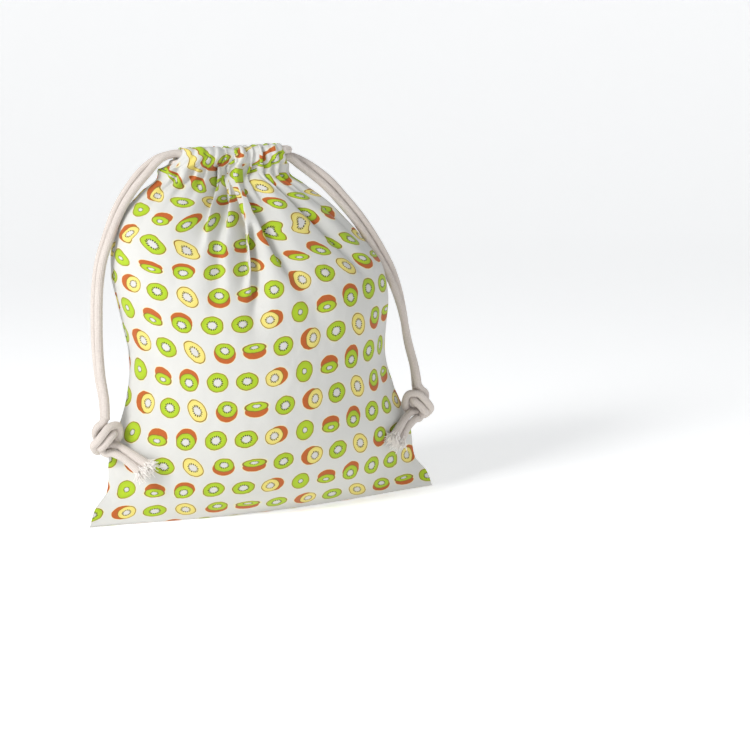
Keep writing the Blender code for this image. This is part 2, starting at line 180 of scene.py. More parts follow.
# Pair routes of the cords, in millimetres. They are the solid cords' routes, but for
# the first stations, where the shown strands lie closer together.
Station = namedtuple("Station", "x y z aside_x aside_y aside_z")
LEFT_ROUTE = (
    Station(-64, 0, 292.9, 0.0, -3.7, 0.4),
    Station(-76, -2, 289.6, 0.6, -3.4, 0.0),
    Station(-88, -3, 280.0, 1.3, -3.4, -1.2),
    Station(-100, -4, 267.0, 1.3, -3.2, -1.0),
    Station(-111, -4, 250.5, 1.2, -3.2, -0.8),
    Station(-120, -5, 231.0, 1.0, -3.3, -0.5),
    Station(-127, -5, 212.0, 0.9, -3.4, -0.3),
    Station(-131, -5, 191.0, 0.9, -3.4, 0.0),
    Station(-133, -6, 170.0, 0.9, -3.4, 0.0),
    Station(-134, -6, 147.0, 0.8, -3.4, 0.0),
    Station(-133.5, -6, 124.0, 0.6, -3.4, 0.0),
    Station(-132, -9, 104.0, 0.4, -3.4, 0.0),
)
RIGHT_ROUTE = (
    Station(32, 0, 286.2, -0.8, -3.6, -0.6),
    Station(42, 0, 280.6, -1.8, -3.2, -1.9),
    Station(53, -1, 272.6, -2.2, -1.7, -2.1),
    Station(64.5, -2, 262.2, -2.3, -1.3, -2.2),
    Station(76, -2, 249.0, -2.4, -1.3, -2.0),
    Station(87, -3, 235.0, -2.6, -1.3, -1.8),
    Station(97, -3, 220.0, -2.8, -1.4, -1.6),
    Station(106, -4, 204.0, -2.9, -1.5, -1.2),
    Station(114, -4, 188.0, -2.8, -1.9, -0.8),
    Station(120, -5, 170.0, -2.2, -2.6, -0.4),
    Station(124.5, -5, 150.0, -1.4, -3.1, 0.0),
    Station(127.5, -6, 128.0, -0.8, -3.4, 0.0),
    Station(131.5, -9, 106.0, -0.5, -3.4, 0.0),
)
STRAND_HALF_GAP = 0.0042
LEFT_KNOT = (-132.5, -11.0, 75.0)
RIGHT_KNOT = (132.5, -11.0, 76.0)

# The pair of strands inside the left knot, in millimetres from its middle: the
# middle of the pair, and how far each strand lies to either side of it.
KNOT_ROUTE = (
    Station(0.0, 0.0, 15.5, 0.0, -3.35, 0.0),
    Station(-1.6, 0.4, 11.0, -1.2, -3.2, 0.4),
    Station(-4.6, 1.2, 6.4, -2.4, -2.2, 1.0),
    Station(-4.6, 2.6, 0.6, -3.0, -0.4, 0.4),
    Station(-0.6, 3.6, -4.6, -2.0, 0.4, -2.4),
    Station(4.6, 3.4, -4.4, 1.2, 0.8, -2.8),
    Station(8.2, 1.2, 0.6, 2.6, -0.2, -1.4),
    Station(7.2, -2.6, 6.0, 2.0, -0.6, 2.2),
    Station(3.4, -6.2, 5.6, -1.6, -0.6, 2.9),
    Station(-1.0, -7.6, 1.6, -2.2, -0.4, 2.4),
    Station(-5.4, -6.6, -3.6, -2.4, -0.2, 2.0),
    Station(-8.2, -2.8, -7.2, -2.6, 0.8, 0.6),
    Station(-6.0, 1.6, -10.2, -0.6, 1.6, -1.8),
    Station(-0.6, 1.0, -11.0, 0.6, 1.4, 2.6),
    Station(5.6, -2.6, -10.6, 2.2, 0.8, 2.6),
    Station(12.0, -6.4, -14.2, 2.2, 0.6, 2.2),
    Station(18.6, -10.6, -19.4, 2.4, -0.4, 2.4),
    Station(25.4, -16.4, -25.6, 3.2, -1.2, 2.6),
)

# Chart of the twelve printed slices, six to a row, in millimetres and degrees. The
# flesh is an ellipse, moved in its cell. The peel is a second one behind it, with its
# own half sizes, moved off the flesh; 0 leaves it out. The core moves up by core_y.
Slice = namedtuple("Slice", "yellow across tall turn move_x move_y"
                            " peel_x peel_y peel_across peel_tall core core_y")
CHART = (
    Slice(1, 7.2, 8.0, -8, 2.4, 0.0, -2.9, 0.2, 9.2, 8.5, 1.00, 0.0),
    Slice(0, 9.4, 8.0, -4, 0.0, 0.0, 0.0, 0.0, 0.0, 0.0, 1.00, 0.0),
    Slice(1, 10.3, 7.2, -50, 0.0, 0.0, 0.0, 0.0, 0.0, 0.0, 1.00, 0.0),
    Slice(0, 8.3, 6.8, -6, 0.4, 1.8, -0.3, -2.6, 9.0, 7.9, 1.00, 0.3),
    Slice(0, 10.0, 4.0, 1, 0.2, 2.2, 0.0, -3.4, 9.5, 5.3, 0.82, 0.4),
    Slice(0, 8.7, 7.7, 14, -0.2, 0.0, 0.0, 0.0, 0.0, 0.0, 1.00, -0.3),
    Slice(0, 7.9, 8.4, -18, 0.0, 0.0, 0.0, 0.0, 0.0, 0.0, 0.62, 0.0),
    Slice(0, 8.9, 4.6, -3, 0.0, -2.6, 0.0, 3.3, 8.7, 6.1, 0.80, -0.4),
    Slice(0, 8.1, 7.3, -6, 0.0, -1.5, 0.3, 2.7, 8.7, 8.2, 1.00, -0.4),
    Slice(0, 9.1, 8.2, 12, 0.0, 0.0, 0.0, 0.0, 0.0, 0.0, 1.00, 0.0),
    Slice(0, 9.5, 7.4, 2, 0.0, 0.0, 0.0, 0.0, 0.0, 0.0, 1.00, 0.0),
    Slice(1, 7.8, 7.0, 12, -1.8, -0.3, 3.0, 0.9, 8.5, 7.2, 1.00, 0.0),
)
SLICES_IN_ROW = 6
SEED_COUNT = 15
CHART_SPAN = 20.0         # millimetres that a chart value of 1 stands for
PRINT_START = (0.0118, 0.0187)
ODD_ROW_SHIFT = -0.30
FLAT_HALF_WIDTH = 0.150

# How the print sits on the wall, in millimetres at shares of the panel's height: how
# much cloth is hidden below in small folds, and how far the sides' rows rise over the
# middle ones. They hang lowest at PRINT_LOW and rise within PRINT_SPREAD of it.
PRINT_HEIGHTS = (0.0, 0.046, 0.182, 0.354, 0.518, 0.657, 0.807, 1.0)
PRINT_HIDDEN = (-5.0, -4.0, 0.0, 0.5, 3.2, 9.0, 13.0, 15.0)
PRINT_RISE = (-4.0, -1.0, 8.5, 10.0, 15.5, 23.0, 26.0, 28.0)
PRINT_LOW = -0.25
PRINT_SPREAD = 0.50

DEEPEST_CREASE = 0.0105
CRUMPLE_DEPTH = 0.0011
CRUMPLE_FROM = 0.03       # height over which the crumple grows to its full depth
MOST_GATHER = 1.5         # how much cloth the shown pleats of the casing stand for
U_BLEND = 9               # rows over which wall and casing share their flat places

# Density of the cloth grid
COLUMNS = 300
STRIP_ROWS = 5
WALL_ROWS = 124
CASING_ROWS = 30

# The camera, solved from the photo
CAMERA_AIM = (0.0993, 0.0, 0.1009)
CAMERA_DISTANCE = 1.4
CAMERA_AZIMUTH = -20.0
CAMERA_ELEVATION = 10.0
CAMERA_ROLL = 2.0
CAMERA_LENS = 79.97

# The stage
FLOOR_RADIUS = 2.4
BACKDROP_CURVE = 1.6
BACKDROP_STEPS = 12
PAPER_WHITE = (0.93, 0.93, 0.93, 1.0)
PAPER_GLOW = 0.37
SKY = (0.95, 0.975, 1.0, 1.0)
SKY_STRENGTH = 0.40


def ease(share):
    """Smooth step from 0 to 1, for numbers and arrays."""
    share = np.clip(share, 0.0, 1.0)
    return share * share * (3 - 2 * share)


def all_sections():
    """The section table in metres, with the floor and the shoulder."""
    half_width, half_depth = BASE_WIDTH / 2, BELLY_DEPTH / 2
    rows = [Section(0.0, half_width, BASE_DEPTH / 2, 0.0, FLOOR_EDGE)]
    for row in SECTIONS:
        rows.append(Section(row.height * PANEL_HEIGHT, row.width * half_width,
                            row.depth * half_depth, row.lean * NECK_SHIFT, row.edge))
    rows.append(Section(PANEL_HEIGHT, SHOULDER_WIDTH / 2, NECK_DEPTH / 2,
                        SHOULDER_LEAN * NECK_SHIFT, SHOULDER_EDGE))
    return rows


def section_at(rows, height):
    """Section at any height, on a smooth curve through the table's rows."""
    last = len(rows) - 1
    place = 0
    while place < last - 1 and height > rows[place + 1].height:
        place += 1
    low, high = rows[place], rows[place + 1]
    before, after = rows[max(0, place - 1)], rows[min(last, place + 2)]
    step = high.height - low.height
    share = (height - low.height) / step
    square, cube = share ** 2, share ** 3
    values = [height]
    for field in ("width", "depth", "lean", "edge"):
        start, end = getattr(low, field), getattr(high, field)
        start_slope = (end - getattr(before, field)) / (high.height - before.height)
        end_slope = (getattr(after, field) - start) / (after.height - low.height)
        values.append((2 * cube - 3 * square + 1) * start
                      + (cube - 2 * square + share) * step * start_slope
                      + (3 * square - 2 * cube) * end
                      + (cube - square) * step * end_slope)
    return Section(*values)


def neck_outline(across, over):
    """A level row round the neck: straight in front, rounded back to the seams."""
    heights = [row.over for row in NECK_ROWS]
    left, right, left_round, right_round = (
        float(np.interp(over, heights, [row[place] for row in NECK_ROWS])) for place in range(1, 5))
    x = (left + right) / 2 + (right - left) / 2 * np.sin(across * math.pi / 2)
    share = np.clip(np.minimum((x - left) / left_round, (right - x) / right_round), 0.0, 1.0)
    return x, -CLOTH_GAP - NECK_FRONT * np.sqrt(1 - (1 - share) ** 2)


def wall_row(rows, across, height):
    """One level row of the plain wall, before any crease: points as an array."""
    section = section_at(rows, height)
    angle = across * math.pi / 2
    side, forward = np.sin(angle), np.maximum(0.0, np.cos(angle))
    share = height / PANEL_HEIGHT
    x = section.lean + section.width * side
    y = -(CLOTH_GAP + section.depth * forward ** section.edge)
    neck_x, neck_y = neck_outline(across, 0.0)
    blend = float(ease((share - NECK_BLEND_FROM) / (1 - NECK_BLEND_FROM)))
    x = x + (neck_x - x) * blend
    y = y + (neck_y - y) * blend
    return np.stack((x, y, np.full_like(x, height)), axis=1)


def along(points):
    """Running length along a row of points."""
    steps = np.linalg.norm(np.diff(points, axis=0), axis=1)
    return np.concatenate(([0.0], np.cumsum(steps)))


def outward(points):
    """Level normals of a row, pointing out of the bag."""
    tangent = np.gradient(points, axis=0)
    normal = np.stack((tangent[:, 1], -tangent[:, 0], np.zeros(len(points))), axis=1)
    return normal / np.maximum(1e-9, np.linalg.norm(normal, axis=1))[:, None]


def crease_shape(creases, across, run, share):
    """Depth share and sideways lean of all creases at one row."""
    depth, lean = np.zeros_like(run), np.zeros_like(run)
    for crease in creases:
        span = crease.top_height - crease.foot_height
        down = (crease.top_height - share) / span
        if not -0.2 < down < 1.6:
            continue
        middle = crease.top_across + (crease.foot_across - crease.top_across) * down
        strength = crease.share * float(ease((1.6 - down) / 1.3)) * float(ease((down + 0.2) / 0.2))
        width = crease.width * MM * (1 + 1.6 * max(0.0, down))
        offset = run - np.interp(middle, across, run)
        shape = np.exp(-(np.abs(offset) / width) ** 1.7)
        depth += strength * shape
        lean += strength * shape * crease.lean
    return depth, lean


def fold_shape(folds, across, run, share):
    """Depth in metres of the broad soft folds at one row."""
    depth = np.zeros_like(run)
    for fold in folds:
        down = (fold.top_height - share) / (fold.top_height - fold.foot_height)
        if not -0.2 < down < 1.4:
            continue
        middle = fold.top_across + (fold.foot_across - fold.top_across) * down
        strength = float(ease((down + 0.2) / 0.5) * ease((1.4 - down) / 0.7))
        offset = run - np.interp(middle, across, run)
        depth += fold.depth * MM * strength * np.exp(-(offset / (fold.width * MM)) ** 2)
    return depth


def creased(points, creases, across, share, amount):
    """The row with its creases pressed in by an amount in metres."""
    run = along(points)
    depth, lean = crease_shape(creases, across, run, share)
    normal = outward(points)
    tangent = np.stack((-normal[:, 1], normal[:, 0], normal[:, 2]), axis=1)
    pushed = amount * (0.35 * min(1.0, depth.max()) - depth)
    return points + normal * pushed[:, None] + tangent * (amount * lean)[:, None]


def spare_amount(points, creases, across, share):
    """How deep the creases must be for the row to hold the whole width of cloth."""
    target = 2 * FLAT_HALF_WIDTH
    low, high = 0.0, DEEPEST_CREASE
    for _ in range(14):
        middle = (low + high) / 2
        if along(creased(points, creases, across, share, middle))[-1] < target:
            low = middle
        else:
            high = middle
    return low


def crumple(u, v, seed):
    """Small wrinkles of pressed cotton over flat cloth coordinates, from -1 to 1."""
    random = np.random.RandomState(seed)
    total = np.zeros_like(u)
    for wave, weight in ((0.060, 1.0), (0.034, 0.7), (0.019, 0.45), (0.011, 0.25)):
        for _ in range(4):
            turn = random.uniform(0, math.pi)
            phase = random.uniform(0, 2 * math.pi, 2)
            x = u * math.cos(turn) + v * math.sin(turn)
            y = v * math.cos(turn) - u * math.sin(turn)
            bend = 0.35 * np.sin(2 * math.pi * y / (wave * 2.3) + phase[0])
            total += weight * (1 - 2 * np.abs(np.sin(math.pi * x / wave + bend + phase[1]))) / 8
    return total


def casing_rows(top, creases, across, seed):
    """Rows over the casing: up its front, over the top and down into the mouth."""
    run = along(np.stack((*neck_outline(across, CASING_HEIGHT), np.zeros_like(across)), axis=1))
    depth, lean = crease_shape(creases, across, run, 1.0)
    random = np.random.RandomState(seed)
    ripple = np.zeros_like(run)
    for wave in (0.027, 0.016, 0.009):
        ripple += np.sin(2 * math.pi * run / wave + random.uniform(0, 2 * math.pi)) / 3
    ends = ease((1 - np.abs(across)) / 0.30)
    lobe = np.clip(1.05 - depth, -0.25, 1.05) + 0.25 * ripple
    inner = MOUTH_GAP / 2 / NECK_FRONT
    rows = []
    for step in range(1, CASING_ROWS + 1):
        share = step / CASING_ROWS
        if share < CASING_FRONT_END:
            part = share / CASING_FRONT_END
            inset, over = 1.0, (CASING_HEIGHT - CASING_TURN) * part
            swell, rise = CASING_SWELL * math.sin(math.pi * (0.10 + 0.62 * part)), 0.0
        elif share < CASING_TURN_END:
            turn = math.pi * (share - CASING_FRONT_END) / (CASING_TURN_END - CASING_FRONT_END)
            inset = (1 + inner) / 2 + (1 - inner) / 2 * math.cos(turn)
            over = CASING_HEIGHT - CASING_TURN * (1 - math.sin(turn))
            swell, rise = CASING_SWELL * 0.77 * (1 + math.cos(turn)) / 2, math.sin(turn)
        else:
            part = (share - CASING_TURN_END) / (1 - CASING_TURN_END)
            inset, over = inner, (CASING_HEIGHT - CASING_TURN) * (1 - part) + CASING_FOOT * part
            swell, rise = 0.0, 0.0
        x, y = neck_outline(across, over)
        row = np.stack((x, y, np.full_like(x, PANEL_HEIGHT + over)), axis=1)
        normal = outward(row)
        tangent = np.stack((-normal[:, 1], normal[:, 0], normal[:, 2]), axis=1)
        row[:, 1] *= inset
        row += normal * np.maximum(-0.0006, swell * lobe * ends)[:, None]
        row += tangent * (swell * 0.8 * lean * ends)[:, None]
        row[:, 1] = np.minimum(row[:, 1], -CLOTH_GAP)
        row[:, 2] += rise * ends * CASING_CREST * (lobe - 0.3)
        follow = float(ease(step / (CASING_ROWS * 0.2)))
        row[:, 2] += (top[:, 2] - PANEL_HEIGHT) * (1 - follow)
        row[:, :2] = top[:, :2] + (row[:, :2] - top[:, :2]) * follow
        rows.append(row)
    return rows


def cloth_points(creases, folds):
    """All rows of one side's cloth with flat coordinates, before it is set in place."""
    sections = all_sections()
    across = np.linspace(-1.0, 1.0, COLUMNS + 1)
    heights = [PANEL_HEIGHT * (step / WALL_ROWS) for step in range(WALL_ROWS + 1)]
    plain = [wall_row(sections, across, height) for height in heights]
    amounts = np.array([spare_amount(row, creases, across, height / PANEL_HEIGHT)
                        for row, height in zip(plain, heights)])
    kernel = np.hanning(13) / np.hanning(13).sum()
    padded_amounts = np.concatenate((np.full(6, amounts[0]), amounts, np.full(6, amounts[-1])))
    amounts = np.convolve(padded_amounts, kernel, "valid")
    wall = []
    for row, height, amount in zip(plain, heights, amounts):
        share = height / PANEL_HEIGHT
        keep = float(ease(share / 0.12))
        rim = ease((1 - np.abs(across)) / 0.05)[:, None]
        shaped = creased(row, creases, across, share, amount * keep)
        run = along(row)
        fold = fold_shape(folds, across, run, share) * keep
        shaped = shaped - outward(row) * fold[:, None]
        wall.append(row + (shaped - row) * rim)
    foot = plain[0]
    strip = []
    for step in range(STRIP_ROWS):
        row = foot.copy()
        row[:, 1] = -SEAM_GAP / 2 + (foot[:, 1] + SEAM_GAP / 2) * step / STRIP_ROWS
        strip.append(row)
    return across, strip, wall


def flat_places(rows):
    """Place of each point on the flat cloth: across from the middle, up from the seam."""
    u = []
    for row in rows:
        run = along(row)
        run -= run[len(run) // 2]
        half = (run[-1] - run[0]) / 2
        u.append(run * min(FLAT_HALF_WIDTH / half, MOST_GATHER))
    u = np.array(u)
    joint = STRIP_ROWS + WALL_ROWS
    for i in range(joint - U_BLEND, joint + U_BLEND):
        share = float(ease((i - joint + U_BLEND) / (2 * U_BLEND)))
        u[i] = u[joint - U_BLEND] * (1 - share) + u[joint + U_BLEND] * share
    points = np.array(rows)
    middle = points[:, points.shape[1] // 2]
    level = along(middle)
    heights = middle[:, 2] / PANEL_HEIGHT
    hidden = np.interp(heights, PRINT_HEIGHTS, PRINT_HIDDEN) * MM
    rise = np.interp(heights, PRINT_HEIGHTS, PRINT_RISE) * MM
    across = np.linspace(-1.0, 1.0, points.shape[1])
    side = 1 - np.exp(-((across - PRINT_LOW) / PRINT_SPREAD) ** 2)
    v = (level + hidden)[:, None] - rise[:, None] * side[None, :]
    return u, v


def mesh_piece(name, points, faces, places, material):
    """A mesh object at the origin, with the flat cloth places as its UV map."""
    data = bpy.data.meshes.new(name)
    data.from_pydata([tuple(p) for p in points], [], faces)
    layer = data.uv_layers.new(name="flat_place")
    loops = np.zeros(len(data.loops), np.int32)
    data.loops.foreach_get("vertex_index", loops)
    layer.data.foreach_set("uv", np.asarray(places, np.float32)[loops].ravel())
    data.materials.append(material)
    data.shade_smooth()
    data.update()
    item = bpy.data.objects.new(name, data)
    bpy.context.scene.collection.objects.link(item)
    return item


def apply_modifiers(item):
    bpy.ops.object.select_all(action="DESELECT")
    item.select_set(True)
    bpy.context.view_layer.objects.active = item
    for modifier in list(item.modifiers):
        bpy.ops.object.modifier_apply(modifier=modifier.name)
    item.select_set(False)


def add_cloth(name, creases, folds, seed, at_back, material, thickness):
    across, strip, wall = cloth_points(creases, folds)
    over = casing_rows(wall[-1], creases, across, seed)
    rows = strip + wall + over
    u, v = flat_places(rows)
    points = np.array(rows)
    wrinkle = crumple(u, v, seed)
    strength = CRUMPLE_DEPTH * ease(points[:, :, 2] / CRUMPLE_FROM)
    normals = np.array([outward(row) for row in rows])
    points = points + normals * (wrinkle * strength)[:, :, None]
    points[0] = rows[0]
    if at_back:
        points[:, :, 1] *= -1
    columns = COLUMNS + 1
    faces = []
    for i in range(len(rows) - 1):
        for j in range(COLUMNS):
            low, high = i * columns + j, (i + 1) * columns + j
            face = (low, low + 1, high + 1, high)
            faces.append(face[::-1] if at_back else face)
    flat = points.reshape(-1, 3)
    places = np.stack((u.ravel() * (-1 if at_back else 1), v.ravel()), axis=1)
    item = mesh_piece(name, flat, faces, places, material)
    wall_maker = item.modifiers.new("thickness", "SOLIDIFY")
    wall_maker.thickness = thickness
    wall_maker.offset = -1.0
    apply_modifiers(item)
    return item


def smooth_path(points, spacing):
    """Evenly spaced points on a smooth curve through the given ones."""
    fine = []
    for i in range(len(points) - 1):
        before, after = points[max(0, i - 1)], points[min(len(points) - 1, i + 2)]
        start, end = points[i], points[i + 1]
        for step in range(12):
            t = step / 12
            fine.append(0.5 * (2 * start + (end - before) * t
                               + (2 * before - 5 * start + 4 * end - after) * t ** 2
                               + (3 * start - before - 3 * end + after) * t ** 3))
    fine.append(points[-1].copy())
    run = along(np.array([tuple(p) for p in fine]))
    count = max(2, round(run[-1] / spacing))
    targets = np.linspace(0, run[-1], count + 1)
    array = np.array([tuple(p) for p in fine])
    return [Vector([float(np.interp(t, run, array[:, k])) for k in range(3)]) for t in targets]


def tube(path, radius_at, sides):
    """Rings of a tube along a path with even twist: points, faces and flat places."""
    points, places = [], []
    tangent = (path[1] - path[0]).normalized()
    aside = tangent.orthogonal().normalized()
    run = 0.0
    for i, point in enumerate(path):
        ahead = path[min(len(path) - 1, i + 1)] - path[max(0, i - 1)]
        ahead.normalize()
        aside = (aside - ahead * aside.dot(ahead)).normalized()
        other = ahead.cross(aside)
        if i:
            run += (point - path[i - 1]).length
        share = i / (len(path) - 1)
        for k in range(sides + 1):
            angle = 2 * math.pi * k / sides
            radius = radius_at(share, angle, run)
            points.append(point + aside * math.cos(angle) * radius + other * math.sin(angle) * radius)
            places.append((k / sides, run))
    faces = []
    ring = sides + 1
    for i in range(len(path) - 1):
        for k in range(sides):
            faces.append((i * ring + k, i * ring + k + 1, (i + 1) * ring + k + 1, (i + 1) * ring + k))
    return points, faces, places


def braid_radius(share, angle, run):
    """Radius of the braided cord: crossing ridges a few hundredths proud."""
    first = math.sin(4 * angle + 2 * math.pi * run / 0.0105)
    second = math.sin(4 * angle - 2 * math.pi * run / 0.0105)
    return CORD_DIAMETER / 2 * (0.985 + 0.018 * (first * first + second * second - 1))


def weld_tube(item):
    mesh = bmesh.new()
    mesh.from_mesh(item.data)
    bmesh.ops.remove_doubles(mesh, verts=mesh.verts, dist=1e-6)
    open_edges = [edge for edge in mesh.edges if edge.is_boundary]
    bmesh.ops.holes_fill(mesh, edges=open_edges, sides=0)
    bmesh.ops.recalc_face_normals(mesh, faces=mesh.faces)
    mesh.to_mesh(item.data)
    mesh.free()
    item.data.shade_smooth()


def add_tube(name, path, radius_at, sides, material):
    points, faces, places = tube(path, radius_at, sides)
    item = mesh_piece(name, points, faces, places, material)
    weld_tube(item)
    return item


def strand_path(side, lane, route, knot, way):
    leave = NECK_SHIFT + side * (NECK_WIDTH / 2 - CORD_DIAMETER * 0.3)
    knot_top = knot[2] * MM + KNOT_HALF_HEIGHT + SEAM_GAP
    start = Vector((leave, -way * STRAND_HALF_GAP, lane))
    points = [start + Vector((side * CORD_DIAMETER * 0.6, 0, 0))]
    for row in route:
        middle, aside = Vector((row.x, row.y, row.z)), Vector((row.aside_x, row.aside_y, row.aside_z))
        points.append((middle + way * aside) * MM)
    points.append(Vector((knot[0] * MM, knot[1] * MM - way * (CORD_DIAMETER + SEAM_GAP) / 2, knot_top)))
    return [start] + smooth_path(points, 0.0012)


def add_fringe(name, ends, material, seed):
    """Loose yarns at the two cord ends, as thin tapered tubes in one mesh."""
    random = np.random.RandomState(seed)
    points, faces, places = [], [], []
    for end, ahead in ends:
        aside = ahead.orthogonal().normalized()
        other = ahead.cross(aside)
        for _ in range(120):
            angle, spread = random.uniform(0, 2 * math.pi), math.sqrt(random.uniform(0, 1))
            out = aside * math.cos(angle) + other * math.sin(angle)
            start = end - ahead * 0.004 + out * spread * CORD_DIAMETER * 0.52
            reach = random.uniform(0.0055, 0.0105)
            bend = random.normal(0, 0.0016, 3)
            path = []
            for step in range(6):
                t = step / 5
                path.append(start + ahead * reach * t + out * spread * 0.0032 * t * t
                            + Vector(bend) * t * t)
            piece, piece_faces, piece_places = tube(
                path, lambda share, turn, run: 0.00050 * (1.1 - 0.6 * share), 5)
            offset = len(points)
            points += piece
            faces += [tuple(k + offset for k in face) for face in piece_faces]
            places += piece_places
    item = mesh_piece(name, points, faces, places, material)
    weld_tube(item)
    return item


class NodeBench:
    """Short ways to add and join shader nodes."""

    def __init__(self, material):
        material.use_nodes = True
        self.tree = material.node_tree
        self.shader = self.tree.nodes["Principled BSDF"]

    def add(self, kind, **settings):
        node = self.tree.nodes.new(kind)
        for key, value in settings.items():
            setattr(node, key, value)
        return node

    def feed(self, socket, value):
        if isinstance(value, bpy.types.NodeSocket):
            self.tree.links.new(value, socket)
        else:
            socket.default_value = value

    def maths(self, operation, *values, clamp=False):
        node = self.add("ShaderNodeMath", operation=operation, use_clamp=clamp)
        for socket, value in zip(node.inputs, values):
            self.feed(socket, value)
        return node.outputs[0]

    def mix(self, share, first, second, blend="MIX"):
        node = self.add("ShaderNodeMix", data_type="RGBA", blend_type=blend)
        self.feed(node.inputs["Factor"], share)
        self.feed(node.inputs["A"], first)
        self.feed(node.inputs["B"], second)
        return node.outputs["Result"]

    def step(self, value, low, high):
        """0 below low and 1 above high, smooth between."""
        node = self.add("ShaderNodeMapRange", interpolation_type="SMOOTHSTEP")
        for socket, number in zip(node.inputs, (value, low, high, 0.0, 1.0)):
            self.feed(socket, number)
        return node.outputs["Result"]

    def noise(self, vector, scale, detail=3.0, roughness=0.5):
        node = self.add("ShaderNodeTexNoise")
        self.feed(node.inputs["Vector"], vector)
        node.inputs["Scale"].default_value = scale
        node.inputs["Detail"].default_value = detail
        node.inputs["Roughness"].default_value = roughness
        return node.outputs["Fac"]

    def chart(self, index, numbers):
        """Three numbers from 0 to 1 for each place of the chart, as R, G and B."""
        ramp = self.add("ShaderNodeValToRGB")
        ramp.color_ramp.interpolation = "CONSTANT"
        while len(ramp.color_ramp.elements) < len(numbers):
            ramp.color_ramp.elements.new(1.0)
        for place, triple in enumerate(numbers):
            ramp.color_ramp.elements[place].position = place / len(numbers)
            ramp.color_ramp.elements[place].color = (*triple, 1.0)
        self.feed(ramp.inputs[0], index)
        split = self.add("ShaderNodeSeparateColor")
        self.tree.links.new(ramp.outputs["Color"], split.inputs[0])
        return split.outputs


